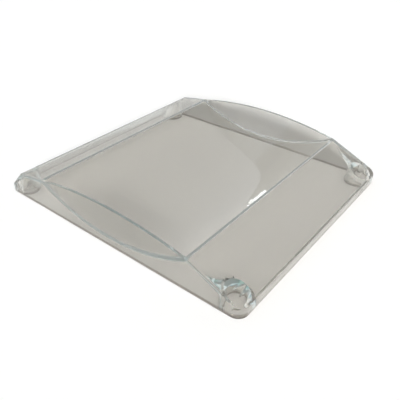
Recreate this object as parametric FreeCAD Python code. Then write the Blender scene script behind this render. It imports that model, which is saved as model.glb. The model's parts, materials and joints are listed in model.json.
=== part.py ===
# Coin tray moulded in one piece from clear plastic.
#
# Frame: +X runs along the long side towards the low end, +Y along the short side, +Z up.
# The origin is the middle of the footprint, on the surface that the tray stands on.
# The tray is a thin shell, open underneath. From the high end its top surface climbs a
# steep back, runs up a gentle shelf to the first crest, dips through a concave scoop to
# the second crest, and falls down a flat ramp to the low end. A side wall with an arched
# top closes the scoop at each side.

import FreeCAD, Part
import os

from FreeCAD import Vector

# Footprint
LENGTH = 226.0
WIDTH = 196.4
CORNER_RADIUS = 7.5

# Moulding thicknesses
SHEET = 2.2
SIDE_WALL = 2.0

# Scoop, between its two crests
SCOOP_CENTRE_X = 2.8
CREST_SPACING = 138.0
CREST_HEIGHT = 25.4
SCOOP_FLOOR_HEIGHT = 8.1

# Side walls over the scoop
ARCH_HEIGHT = 33.0

# Low end, at +X
LOW_END_HEIGHT = 7.3

# High end, at -X: the shelf's outer edge, and the foot of the steep back
SHELF_LENGTH = 27.0
SHELF_EDGE_HEIGHT = 20.9
BACK_FOOT_HEIGHT = 1.5

# Round hollow feet, merged with the walls in the corners
FOOT_DIAMETER = 20.0
FOOT_WALL = 1.8
FOOT_INSET = 10.5

# Rounded edges: both crests, where the scoop meets its side walls, the rim all round the
# top, and the corners under the sheet
CREST_ROUND = 3.5
JUNCTION_ROUND = 1.2
RIM_ROUND = 0.5
INNER_ROUND = 0.8

# Depth that the sections reach below the standing surface, so that the hollow is open
BELOW = 10.0

TOLERANCE = 1e-3


def point(x, z):
    """Give a point of the lengthwise section, in the plane y = 0."""
    return Vector(x, 0, z)


def arc_edge(start, middle, end):
    """Give the circular edge through three points."""
    return Part.Arc(start, middle, end).toShape()


def line_edge(start, end):
    """Give the straight edge between two points."""
    return Part.LineSegment(start, end).toShape()


def extrude_across(section, width):
    """Extrude a closed lengthwise section over a width centred on y = 0."""
    face = Part.Face(section)
    face.translate(Vector(0, -width / 2, 0))
    return face.extrude(Vector(0, width, 0))


def rounded_block(length, width, radius, height):
    """Give a block on z = 0 whose four upright edges are rounded."""
    block = Part.makeBox(length, width, height, Vector(-length / 2, -width / 2, 0))
    upright = [edge for edge in block.Edges if is_upright(edge)]
    return block.makeFillet(radius, upright)


def is_upright(edge):
    """Tell whether a straight edge runs along Z."""
    ends = [vertex.Point for vertex in edge.Vertexes]
    if len(ends) != 2:
        return False
    run = ends[1] - ends[0]
    return abs(run.x) < TOLERANCE and abs(run.y) < TOLERANCE


def runs_across(box):
    """Tell whether an edge's bounding box is that of a long level line along Y."""
    return box.XLength < TOLERANCE and box.ZLength < TOLERANCE and box.YLength > WIDTH / 2


def is_crest(box):
    """Tell whether an edge's bounding box is one of the crest lines."""
    return runs_across(box) and abs(box.ZMax - CREST_HEIGHT) < TOLERANCE


def is_rim(box):
    """Tell whether an edge's bounding box is part of the rim round the top."""
    if runs_across(box):
        return min(abs(box.ZMax - LOW_END_HEIGHT), abs(box.ZMax - SHELF_EDGE_HEIGHT)) < TOLERANCE
    raised = box.ZMin > TOLERANCE and box.XLength > TOLERANCE
    flat = box.YLength < TOLERANCE
    outside = abs(max(box.YMax, -box.YMin) - WIDTH / 2) < TOLERANCE
    return raised and outside and (flat or box.XMin * box.XMax > 0)


def round_crests(shape):
    """Give a shape with its two crest lines rounded."""
    return shape.makeFillet(CREST_ROUND, [edge for edge in shape.Edges if is_crest(edge.BoundBox)])


def round_rim(shape):
    """Give a shape with the rim round its top rounded."""
    return shape.makeFillet(RIM_ROUND, [edge for edge in shape.Edges if is_rim(edge.BoundBox)])


def outer_section(middle_height):
    """Give the lengthwise section of the filled tray, reaching below the table.

    The arc from crest to crest has the given height in its middle: the scoop's floor, or
    the top of the side walls.
    """
    end = LENGTH / 2
    low_crest = SCOOP_CENTRE_X + CREST_SPACING / 2
    high_crest = SCOOP_CENTRE_X - CREST_SPACING / 2
    low_foot = point(end, -BELOW)
    low_top = point(end, LOW_END_HEIGHT)
    ramp_top = point(low_crest, CREST_HEIGHT)
    middle = point(SCOOP_CENTRE_X, middle_height)
    shelf_top = point(high_crest, CREST_HEIGHT)
    shelf_edge = point(high_crest - SHELF_LENGTH, SHELF_EDGE_HEIGHT)
    back_low = point(-end, BACK_FOOT_HEIGHT)
    back_foot = point(-end, -BELOW)
    return Part.Wire([
        line_edge(back_foot, low_foot),
        line_edge(low_foot, low_top),
        line_edge(low_top, ramp_top),
        arc_edge(ramp_top, middle, shelf_top),
        line_edge(shelf_top, shelf_edge),
        line_edge(shelf_edge, back_low),
        line_edge(back_low, back_foot),
    ])


def sheet_block():
    """Give the filled tray without its side walls, with both crests rounded."""
    return round_crests(extrude_across(outer_section(SCOOP_FLOOR_HEIGHT), WIDTH))


def hollow_section():
    """Give the lengthwise section of the hollow, one sheet inside the sheet's top."""
    end = min(sheet_block().Faces, key=lambda face: face.CenterOfMass.y)
    section = end.OuterWire
    section.translate(Vector(0, WIDTH / 2, 0))
    return section.makeOffset2D(-SHEET)


def scoop_cutter():
    """Give the space over the sheet between the side walls, with its lower corners rounded."""
    length = CREST_SPACING + 2 * CREST_ROUND
    width = WIDTH - 2 * SIDE_WALL
    corner = Vector(SCOOP_CENTRE_X - length / 2, -width / 2, 0)
    space = Part.makeBox(length, width, ARCH_HEIGHT + 1, corner).cut(sheet_block())
    return space.makeFillet(JUNCTION_ROUND, [edge for edge in space.Edges if is_junction(edge.BoundBox)])


def is_junction(box):
    """Tell whether an edge's bounding box lies where the sheet meets a side wall."""
    return box.YLength < TOLERANCE and box.XLength > TOLERANCE and box.ZMax < CREST_HEIGHT


def arch_trim(side):
    """Give what the rim's round takes off the inner edge of an arch, at side -1 or 1."""
    rise = ARCH_HEIGHT - CREST_HEIGHT
    radius = ((CREST_SPACING / 2) ** 2 + rise ** 2) / (2 * rise)
    inner_y = WIDTH / 2 - SIDE_WALL
    centre = Vector(SCOOP_CENTRE_X, inner_y, ARCH_HEIGHT - radius)
    across = Vector(0, 1, 0)
    disc = Part.makeCylinder(radius, SIDE_WALL, centre, across)
    disc = disc.makeFillet(RIM_ROUND, [edge for edge in disc.Edges if is_level_at(edge.BoundBox, inner_y)])
    ring = Part.makeCylinder(radius + rise, RIM_ROUND, centre, across).cut(disc)
    run_out = 6 * RIM_ROUND
    start = Vector(SCOOP_CENTRE_X - CREST_SPACING / 2, inner_y, CREST_HEIGHT - run_out)
    trim = ring.common(Part.makeBox(CREST_SPACING + run_out, SIDE_WALL, ARCH_HEIGHT, start))
    return trim if side > 0 else trim.mirror(Vector(0, 0, 0), across)


def is_level_at(box, y):
    """Tell whether an edge's bounding box lies in the plane at a given y."""
    return box.YLength < TOLERANCE and abs(box.YMin - y) < TOLERANCE


def filled_tray():
    """Give the tray before it is hollowed: sheet, scoop and both side walls."""
    block = rounded_block(LENGTH, WIDTH, CORNER_RADIUS, ARCH_HEIGHT + 1)
    body = round_rim(extrude_across(outer_section(ARCH_HEIGHT), WIDTH).common(block))
    body = body.cut(scoop_cutter())
    return body.cut(arch_trim(-1)).cut(arch_trim(1))


def hollow():
    """Give the space under the sheet, between the side walls."""
    space = extrude_across(hollow_section(), WIDTH - 2 * SIDE_WALL)
    inner = rounded_block(
        LENGTH - 2 * SIDE_WALL, WIDTH - 2 * SIDE_WALL,
        CORNER_RADIUS - SIDE_WALL, BELOW + ARCH_HEIGHT,
    )
    inner.translate(Vector(0, 0, -BELOW))
    return round_inner(space.common(inner))


def round_inner(space):
    """Give the hollow with every edge under the sheet rounded."""
    level = [edge for edge in space.Edges if not is_upright(edge)]
    return space.makeFillet(INNER_ROUND, [edge for edge in level if edge.BoundBox.ZMax > 0])


def foot_centres():
    """Give the centre of each corner foot on the standing surface."""
    x = LENGTH / 2 - FOOT_INSET
    y = WIDTH / 2 - FOOT_INSET
    return [Vector(sx * x, sy * y, 0) for sx in (-1, 1) for sy in (-1, 1)]


def corner_foot(centre):
    """Give one foot: a tube from the standing surface up to the sheet."""
    radius = FOOT_DIAMETER / 2
    outer = Part.makeCylinder(radius, CREST_HEIGHT, centre)
    bore = Part.makeCylinder(radius - FOOT_WALL, CREST_HEIGHT, centre)
    return outer.cut(bore)


def tray_body():
    """Give the whole tray as one solid."""
    space = hollow()
    shell = filled_tray().cut(space)
    for centre in foot_centres():
        shell = shell.fuse(corner_foot(centre).common(space))
    return shell.removeSplitter()


def main():
    """Build the tray and write it as one STEP file."""
    os.makedirs("parts", exist_ok=True)
    body = tray_body()
    solid = body.Solids[0]
    print("solids", len(body.Solids), "valid", body.isValid(), "volume", round(solid.Volume, 1))
    print("box", solid.optimalBoundingBox())
    solid.exportStep("parts/tray_body.step")


main()
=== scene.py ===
"""Clear plastic coin tray on a plain white floor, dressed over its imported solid.

Lengths are in metres, in the tray's own frame: +X towards the low end, +Z up, and the
origin in the middle of the footprint. A lamp's azimuth and height are angles in degrees,
from +X towards +Y and up from the floor.
"""

import json
import logging
import math
from dataclasses import dataclass
from enum import Enum

import bmesh
import bpy
from bpy.types import Material, Node, NodeSocket, NodeTree, Object
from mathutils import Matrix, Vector

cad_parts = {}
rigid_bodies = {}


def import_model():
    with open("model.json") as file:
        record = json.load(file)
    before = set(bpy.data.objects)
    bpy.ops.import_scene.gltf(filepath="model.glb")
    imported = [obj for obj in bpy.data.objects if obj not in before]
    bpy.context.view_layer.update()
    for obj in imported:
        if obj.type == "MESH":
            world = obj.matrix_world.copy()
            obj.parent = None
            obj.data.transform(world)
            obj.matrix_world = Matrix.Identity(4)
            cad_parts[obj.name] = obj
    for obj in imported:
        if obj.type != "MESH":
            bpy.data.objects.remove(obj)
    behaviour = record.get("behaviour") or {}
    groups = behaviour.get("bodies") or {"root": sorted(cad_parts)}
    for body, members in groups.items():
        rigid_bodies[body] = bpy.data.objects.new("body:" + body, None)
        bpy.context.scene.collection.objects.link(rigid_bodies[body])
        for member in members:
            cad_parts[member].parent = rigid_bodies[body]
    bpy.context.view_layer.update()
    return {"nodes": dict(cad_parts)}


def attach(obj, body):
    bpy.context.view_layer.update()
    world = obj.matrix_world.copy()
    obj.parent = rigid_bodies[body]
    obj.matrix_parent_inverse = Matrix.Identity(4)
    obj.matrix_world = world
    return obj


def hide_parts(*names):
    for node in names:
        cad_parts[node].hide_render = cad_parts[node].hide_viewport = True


LOG = logging.getLogger("coin_tray")

MM = 0.001

# The sRGB curve: a straight line up to its knee, and a power above it.
SRGB_KNEE = 0.04045
SRGB_SLOPE = 12.92
SRGB_OFFSET = 0.055
SRGB_POWER = 2.4

# The Mix node has inputs and an output for each kind of value. These are the colour's.
COLOUR_A = 6
COLOUR_B = 7
COLOUR_MIXED = 2


def linear_part(part: float) -> float:
    """Turn one part of an sRGB colour, from 0 to 1, into a linear one.

    Args:
        part: The sRGB value of red, green or blue.

    Returns:
        The linear value.
    """
    if part <= SRGB_KNEE:
        return part / SRGB_SLOPE
    return ((part + SRGB_OFFSET) / (1 + SRGB_OFFSET)) ** SRGB_POWER


def linear(hex_colour: str) -> tuple[float, float, float, float]:
    """Turn an sRGB hex colour into a linear one.

    Args:
        hex_colour: Six hex digits, as in "c8c7c2".

    Returns:
        Red, green and blue, and 1 for alpha.
    """
    red, green, blue = (linear_part(int(hex_colour[i:i + 2], 16) / 255) for i in (0, 2, 4))
    return red, green, blue, 1.0


def add_node(tree: NodeTree, kind: str, settings: dict, links: dict) -> Node:
    """Add a node with its settings and its incoming links.

    Args:
        tree: The node tree that gets the node.
        kind: The node's type name.
        settings: Values by attribute name, or by input name or number.
        links: Sockets that feed its inputs, by input name or number.

    Returns:
        The new node.
    """
    node = tree.nodes.new(kind)
    for name, value in settings.items():
        if isinstance(name, str) and hasattr(node, name):
            setattr(node, name, value)
        else:
            node.inputs[name].default_value = value
    for name, socket in links.items():
        tree.links.new(socket, node.inputs[name])
    return node


def shown_share(tree: NodeTree) -> NodeSocket:
    """Give 1 where a background is seen directly, mirrored or through plastic, else 0.

    Args:
        tree: The node tree that gets the nodes.

    Returns:
        The socket that holds the value.
    """
    path = add_node(tree, "ShaderNodeLightPath", {}, {})
    mirrored = add_node(
        tree, "ShaderNodeMath", {"operation": "MAXIMUM"},
        {0: path.outputs["Is Camera Ray"], 1: path.outputs["Is Glossy Ray"]},
    )
    shown = add_node(
        tree, "ShaderNodeMath", {"operation": "MAXIMUM"},
        {0: mirrored.outputs[0], 1: path.outputs["Is Transmission Ray"]},
    )
    return shown.outputs[0]


def blank_material(name: str) -> Material:
    """Make a material whose node tree is empty.

    Args:
        name: The material's name.

    Returns:
        The new material.
    """
    material = bpy.data.materials.new(name)
    material.use_nodes = True
    material.node_tree.nodes.clear()
    return material


def direction(azimuth: float, height: float) -> Vector:
    """Give the unit vector that points at an azimuth and a height."""
    turn, rise = math.radians(azimuth), math.radians(height)
    return Vector((math.cos(turn) * math.cos(rise), math.sin(turn) * math.cos(rise), math.sin(rise)))


@dataclass(frozen=True)
class ClearPolystyrene:
    """Glass-clear moulded polystyrene, with a wavering polish and painted shade along its bottom edge.
    """

    tint: str = "dedcd7"
    ior: float = 1.59
    roughness: float = 0.015
    wave_size: float = 45 * MM
    wave_height: float = 0.10 * MM
    wave_detail: float = 1.0
    wave_fading: float = 0.4
    # Painted shade: below these heights the tint is darker, for the shade where the tray meets the
    # floor.
    painted_base_shade_tint: str = "a8a095"
    painted_shade_below: float = 1.2 * MM
    clear_above: float = 2.4 * MM
    trapped_turns: int = 3
    trapped_tint: str = "f0f5f7"
    unbent_share: float = 0.42
    unbent_tint: str = "fffaf4"
    depth_colour: str = "b8dcd6"
    depth_density: float = 8.0

    def build(self) -> Material:
        """Build the finish's material.

        Returns:
            The material.
        """
        # Clear plastic shows itself by bright cool edges, by reflections that waver a
        # little, and by a faint grey-green where it is looked at edge on.
        material = blank_material("clear_moulded_polystyrene")
        tree = material.node_tree
        place = add_node(tree, "ShaderNodeTexCoord", {}, {}).outputs["Object"]
        path = add_node(tree, "ShaderNodeLightPath", {}, {})
        plastic = add_node(
            tree, "ShaderNodeBsdfPrincipled",
            {"Roughness": self.roughness, "IOR": self.ior, "Transmission Weight": 1.0},
            {
                "Base Color": self.tint_with_painted_base_shade(tree, place),
                "Normal": self.wavering_normal(tree, place),
            },
        )
        bright_edges = self.release_trapped_light(tree, path, plastic.outputs["BSDF"])
        surface = self.pass_soft_light(tree, path, bright_edges)
        depth = add_node(
            tree, "ShaderNodeVolumeAbsorption",
            {"Color": linear(self.depth_colour), "Density": self.depth_density}, {},
        )
        add_node(
            tree, "ShaderNodeOutputMaterial", {},
            {"Surface": surface, "Volume": depth.outputs[0]},
        )
        return material

    def wavering_normal(self, tree: NodeTree, place: NodeSocket) -> NodeSocket:
        """Give the normal of faces that waver by a tenth of a millimetre over centimetres.

        Args:
            tree: The material's node tree.
            place: The point on the tray.

        Returns:
            The socket that holds the normal.
        """
        flow = add_node(
            tree, "ShaderNodeTexNoise",
            {"Scale": 1 / self.wave_size, "Detail": self.wave_detail, "Roughness": self.wave_fading},
            {"Vector": place},
        )
        wave = add_node(
            tree, "ShaderNodeBump",
            {"Strength": 1.0, "Distance": self.wave_height},
            {"Height": flow.outputs["Fac"]},
        )
        return wave.outputs["Normal"]

    def tint_with_painted_base_shade(self, tree: NodeTree, place: NodeSocket) -> NodeSocket:
        """Give the tint with painted shade: darker at the bottom edge, where the tray meets the floor.

        Args:
            tree: The material's node tree.
            place: The point on the tray.

        Returns:
            The socket that holds the colour.
        """
        axes = add_node(tree, "ShaderNodeSeparateXYZ", {}, {"Vector": place})
        clear = add_node(
            tree, "ShaderNodeMapRange",
            {"From Min": self.painted_shade_below, "From Max": self.clear_above},
            {"Value": axes.outputs["Z"]},
        )
        # Painted shade: the bottom edge gets a darker tint, for the shade where the tray meets the
        # floor.
        colour = add_node(
            tree, "ShaderNodeMix",
            {"data_type": "RGBA", COLOUR_A: linear(self.painted_base_shade_tint), COLOUR_B: linear(self.tint)},
            {0: clear.outputs["Result"]},
        )
        return colour.outputs[COLOUR_MIXED]

    def release_trapped_light(self, tree: NodeTree, path: Node, inner: NodeSocket) -> NodeSocket:
        """Give a shader that lets out what total reflection traps in a wall, a little cooler.

        Without it the trapped paths end in black, and the edges with them.

        Args:
            tree: The material's node tree.
            path: The Light Path node.
            inner: The shader up to the last trapped turn.

        Returns:
            The socket that holds the shader.
        """
        trapped = add_node(
            tree, "ShaderNodeMath", {"operation": "GREATER_THAN", 1: self.trapped_turns},
            {0: path.outputs["Glossy Depth"]},
        )
        seen = add_node(
            tree, "ShaderNodeMath", {"operation": "SUBTRACT", 0: 1.0},
            {1: path.outputs["Is Shadow Ray"]},
        )
        leaves = add_node(
            tree, "ShaderNodeMath", {"operation": "MULTIPLY"},
            {0: trapped.outputs[0], 1: seen.outputs[0]},
        )
        cool = add_node(tree, "ShaderNodeBsdfTransparent", {"Color": linear(self.trapped_tint)}, {})
        released = add_node(
            tree, "ShaderNodeMixShader", {},
            {0: leaves.outputs[0], 1: inner, 2: cool.outputs[0]},
        )
        return released.outputs[0]

    def pass_soft_light(self, tree: NodeTree, path: Node, inner: NodeSocket) -> NodeSocket:
        """Give a shader that lets part of the room's soft light pass unbent to the floor.

        Args:
            tree: The material's node tree.
            path: The Light Path node.
            inner: The shader for the rest of the light.

        Returns:
            The socket that holds the shader.
        """
        share = add_node(
            tree, "ShaderNodeMath", {"operation": "MULTIPLY", 1: self.unbent_share},
            {0: path.outputs["Is Diffuse Ray"]},
        )
        straight = add_node(tree, "ShaderNodeBsdfTransparent", {"Color": linear(self.unbent_tint)}, {})
        passed = add_node(
            tree, "ShaderNodeMixShader", {},
            {0: share.outputs[0], 1: inner, 2: straight.outputs[0]},
        )
        return passed.outputs[0]


@dataclass(frozen=True)
class WhiteFloor:
    """Matt white table top, shown white where no shadow falls on it."""

    colour: str = "f4f4f4"
    glow: float = 0.05

    def build(self) -> Material:
        """Build the finish's material.

        Returns:
            The material.
        """
        # A matt top mirrors nothing. It shows the tray's soft shadow and is white beyond it.
        material = blank_material("matt_white_floor")
        tree = material.node_tree
        strength = add_node(
            tree, "ShaderNodeMath", {"operation": "MULTIPLY", 1: self.glow},
            {0: shown_share(tree)},
        )
        glow = add_node(tree, "ShaderNodeEmission", {}, {"Strength": strength.outputs[0]})
        matt = add_node(tree, "ShaderNodeBsdfDiffuse", {"Color": linear(self.colour)}, {})
        both = add_node(
            tree, "ShaderNodeAddShader", {},
            {0: glow.outputs[0], 1: matt.outputs[0]},
        )
        add_node(tree, "ShaderNodeOutputMaterial", {}, {"Surface": both.outputs[0]})
        return material


@dataclass
class CoinTray:
    """The moulded tray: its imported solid, welded and shaded smooth across its rounds."""

    node: str = "tray_body"
    body: str = "root"
    slot: str = "clear_plastic"
    weld: float = 0.001 * MM
    sharp_from: float = 40.0
    large_face_weight: int = 100
    finish: ClearPolystyrene = ClearPolystyrene()

    def shell(self, solid: Object) -> Object:
        """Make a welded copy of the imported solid, with true normals on flats and rounds.

        Args:
            solid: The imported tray.

        Returns:
            The copy, linked into the scene.
        """
        grid = bmesh.new()
        grid.from_mesh(solid.data)
        bmesh.ops.remove_doubles(grid, verts=grid.verts, dist=self.weld)
        mesh = bpy.data.meshes.new("tray_shell")
        grid.to_mesh(mesh)
        grid.free()
        mesh.shade_smooth()
        mesh.set_sharp_from_angle(angle=math.radians(self.sharp_from))
        shell = bpy.data.objects.new("tray_shell", mesh)
        bpy.context.scene.collection.objects.link(shell)
        # Large faces lead the normals, so that a flat stays flat up to its rounded edge.
        even = shell.modifiers.new("even_normals", "WEIGHTED_NORMAL")
        even.mode = "FACE_AREA"
        even.weight = self.large_face_weight
        even.keep_sharp = True
        shown = shell.evaluated_get(bpy.context.evaluated_depsgraph_get())
        shell.data = bpy.data.meshes.new_from_object(shown)
        shell.modifiers.clear()
        return shell

    def dress(self, nodes: dict[str, Object]) -> Object:
        """Make the tray that shows and give it its finish.

        Args:
            nodes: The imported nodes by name.

        Returns:
            The tray's object.
        """
        shell = self.shell(nodes[self.node])
        shell.data.materials.clear()
        shell.data.materials.append(self.finish.build())
        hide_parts(self.node)
        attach(shell, self.body)
        return shell


class LampRole(Enum):
    """What a lamp stands for: the bright room, its side window or its far horizon."""

    FRONT = "front"
    SIDE = "side"
    HORIZON = "horizon"


@dataclass(frozen=True)
class DistantLamp:
    """A broad far lamp, as even over the tray as a bright wall behind the camera.

    Its spread is the angle that it covers, in degrees.
    """

    role: LampRole
    azimuth: float
    height: float
    strength: float
    spread: float
    colour: str = "ffffff"

    def hang(self) -> None:
        """Put the lamp into the scene."""
        light = bpy.data.lights.new(f"{self.role.value}_lamp", "SUN")
        light.energy = self.strength
        light.angle = math.radians(self.spread)
        light.color = linear(self.colour)[:3]
        lamp = bpy.data.objects.new(light.name, light)
        lamp.rotation_euler = direction(self.azimuth, self.height).to_track_quat("Z", "Y").to_euler()
        lamp.visible_glossy = False
        bpy.context.scene.collection.objects.link(lamp)


@dataclass(frozen=True)
class PaneLamp:
    """A bright pane that the polished plastic mirrors, and that leaves the floor unlit.

    It faces the origin from its distance, and its size is its level side and its upright
    one. With seen_through it shows through the plastic as well.
    """

    role: LampRole
    azimuth: float
    height: float
    distance: float
    size: tuple[float, float]
    brightness: float
    colour: str = "ffffff"
    seen_through: bool = False

    def hang(self) -> None:
        """Put the lamp into the scene, its power in step with its area."""
        light = bpy.data.lights.new(f"{self.role.value}_lamp", "AREA")
        light.shape = "RECTANGLE"
        light.size, light.size_y = self.size
        light.energy = self.brightness * math.pi * self.size[0] * self.size[1]
        light.color = linear(self.colour)[:3]
        lamp = bpy.data.objects.new(light.name, light)
        towards = direction(self.azimuth, self.height)
        lamp.location = towards * self.distance
        lamp.rotation_euler = towards.to_track_quat("Z", "Y").to_euler()
        lamp.visible_diffuse = False
        lamp.visible_transmission = self.seen_through
        bpy.context.scene.collection.objects.link(lamp)


@dataclass
class Studio:
    """The white floor, the lamps and the soft surround, cooler on one side."""

    floor_size: float = 6.0
    floor_finish: WhiteFloor = WhiteFloor()
    cool_side: str = "e8f1fa"
    warm_side: str = "f6ecdc"
    cool_from: float = -0.4
    warm_from: float = 0.5
    surround_strength: float = 0.5
    lamps: tuple[DistantLamp | PaneLamp, ...] = (
        DistantLamp(role=LampRole.FRONT, azimuth=-51.4, height=24.0, strength=4.9, spread=12.0),
        PaneLamp(
            role=LampRole.SIDE, azimuth=-120.0, height=40.0, distance=1.2,
            size=(0.5, 0.8), brightness=3.5, colour="e8f2ff",
        ),
        PaneLamp(
            role=LampRole.HORIZON, azimuth=132.9, height=1.2, distance=1.6,
            size=(0.10, 0.045), brightness=4.0, colour="f0f6ff", seen_through=True,
        ),
    )

    def lay_floor(self) -> None:
        """Lay the floor under the tray."""
        half = self.floor_size / 2
        mesh = bpy.data.meshes.new("floor")
        corners = [(-half, -half, 0), (half, -half, 0), (half, half, 0), (-half, half, 0)]
        mesh.from_pydata(corners, [], [(0, 1, 2, 3)])
        floor = bpy.data.objects.new("floor", mesh)
        bpy.context.scene.collection.objects.link(floor)
        mesh.materials.append(self.floor_finish.build())

    def set_surround(self) -> None:
        """Set a soft surround that lights the scene and is white where it is seen."""
        world = bpy.data.worlds.new("surround")
        world.use_nodes = True
        tree = world.node_tree
        tree.nodes.clear()
        place = add_node(tree, "ShaderNodeTexCoord", {}, {})
        axes = add_node(tree, "ShaderNodeSeparateXYZ", {}, {"Vector": place.outputs["Generated"]})
        share = add_node(
            tree, "ShaderNodeMapRange",
            {"From Min": self.cool_from, "From Max": self.warm_from, "interpolation_type": "SMOOTHSTEP"},
            {"Value": axes.outputs["X"]},
        )
        colour = add_node(
            tree, "ShaderNodeMix",
            {"data_type": "RGBA", COLOUR_A: linear(self.cool_side), COLOUR_B: linear(self.warm_side)},
            {0: share.outputs["Result"]},
        )
        soft = add_node(
            tree, "ShaderNodeBackground", {"Strength": self.surround_strength},
            {"Color": colour.outputs[COLOUR_MIXED]},
        )
        white = add_node(tree, "ShaderNodeBackground", {"Color": linear("ffffff"), "Strength": 1.0}, {})
        back = add_node(
            tree, "ShaderNodeMixShader", {},
            {0: shown_share(tree), 1: soft.outputs[0], 2: white.outputs[0]},
        )
        add_node(tree, "ShaderNodeOutputWorld", {}, {"Surface": back.outputs[0]})
        bpy.context.scene.world = world

    def hang_lamps(self) -> None:
        """Put every lamp into the scene."""
        for lamp in self.lamps:
            lamp.hang()


@dataclass
class PhotoCamera:
    """The camera at the photograph's place, solved from the tray's edges.

    Its yaw and dip are in degrees, and its sensor is in millimetres.
    """

    place: tuple[float, float, float] = (207.6 * MM, -253.8 * MM, 208.4 * MM)
    yaw: float = 128.61
    dip: float = 34.40
    focal_pixels: float = 470.5
    frame_pixels: float = 400.0
    sensor: float = 36.0

    def stand(self) -> None:
        """Make the camera and hand it to the scene."""
        data = bpy.data.cameras.new("photo_camera")
        data.sensor_width = self.sensor
        data.lens = self.sensor * self.focal_pixels / self.frame_pixels
        camera = bpy.data.objects.new("photo_camera", data)
        camera.location = self.place
        camera.rotation_euler = direction(self.yaw, -self.dip).to_track_quat("-Z", "Y").to_euler()
        bpy.context.scene.collection.objects.link(camera)
        bpy.context.scene.camera = camera


def main() -> None:
    """Build the scene: the tray, its studio and the camera."""
    logging.basicConfig(level=logging.INFO, format="%(message)s")
    for leftover in list(bpy.data.objects):
        bpy.data.objects.remove(leftover)
    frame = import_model()
    bpy.context.scene.view_settings.view_transform = "Standard"
    PhotoCamera().stand()
    studio = Studio()
    studio.lay_floor()
    studio.set_surround()
    studio.hang_lamps()
    tray = CoinTray().dress(frame["nodes"])
    LOG.info("dressed %s with %s", tray.name, tray.data.materials[0].name)


if __name__ == "__main__":
    main()
